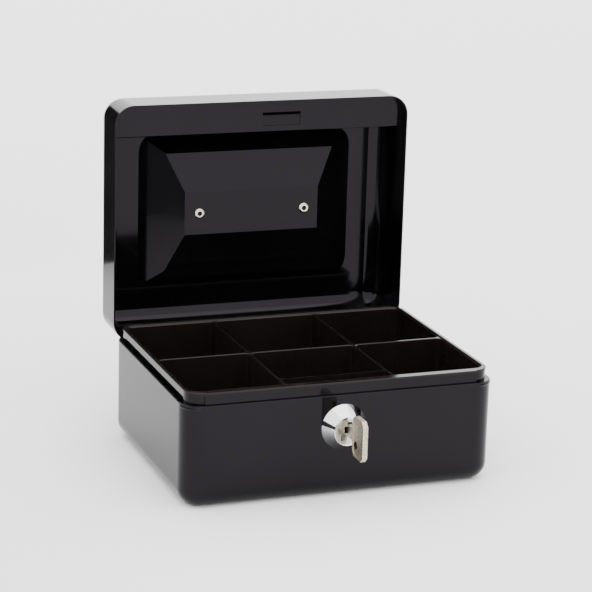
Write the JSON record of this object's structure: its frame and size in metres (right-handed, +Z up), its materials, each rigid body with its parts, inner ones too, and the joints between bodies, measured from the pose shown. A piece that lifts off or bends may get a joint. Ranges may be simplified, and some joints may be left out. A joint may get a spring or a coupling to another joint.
{
  "type": "cash box",
  "caption": "Small key-locked steel cash box with a hinged lid standing open, a sunk bail handle and a lift-out coin tray.",
  "frame": {"origin": "middle of the underside of the base", "axes": "+X to the right along the lock side, +Y from the lock side to the hinge side, +Z up; the lid is stored standing open"},
  "size_m": [0.1552, 0.1765, 0.1661],
  "materials": {
    "black_paint": "gloss",
    "black_plastic": "gloss",
    "chrome": "polished",
    "nickel": "satin",
    "key_steel": "satin",
    "zinc_steel": "satin",
    "brass": "satin"
  },
  "bodies": {
    "base": {"base_shell": "black_paint", "hinge_base_leaf_left": "black_paint", "hinge_base_leaf_right": "black_paint", "hinge_pin_left": "zinc_steel", "hinge_pin_right": "zinc_steel", "lock_housing": "chrome", "lock_washer": "zinc_steel", "lock_nut": "zinc_steel"},
    "lid": {"lid_shell": "black_paint", "lid_lock_strip": "black_paint", "hinge_lid_leaf_left": "black_paint", "hinge_lid_leaf_right": "black_paint", "handle_bracket_left": "chrome", "handle_bracket_right": "chrome", "handle_rivet_left": "nickel", "handle_rivet_right": "nickel"},
    "handle": {"handle_bail": "chrome"},
    "lock_core": {"lock_plug": "nickel", "lock_wafers": "brass", "wafer_springs": "zinc_steel", "lock_cam": "zinc_steel", "cam_washer": "zinc_steel", "cam_screw": "zinc_steel"},
    "key_body": {"key": "key_steel"},
    "tray": {"coin_tray": "black_plastic"}
  },
  "joints": [
    {"name": "lid_hinge", "type": "hinge", "parent": "base", "child": "lid", "pos_m": [0, 0.0581, 0.048], "axis": [-1, 0, 0], "range_deg": [-90, 0]},
    {"name": "handle_pivot", "type": "hinge", "parent": "lid", "child": "handle", "pos_m": [0, 0.0825, 0.1061], "axis": [1, 0, 0], "range_deg": [0, 170]},
    {"name": "lock_turn", "type": "hinge", "parent": "base", "child": "lock_core", "pos_m": [0, -0.06, 0.0346], "axis": [0, -1, 0], "range_deg": [0, 90]},
    {"name": "key_slide", "type": "slide", "parent": "lock_core", "child": "key_body", "axis": [0, -1, 0], "range_m": [0, 0.02]},
    {"name": "tray_lift", "type": "slide", "parent": "base", "child": "tray", "axis": [0, 0, 1], "range_m": [0, 0.06]}
  ]
}
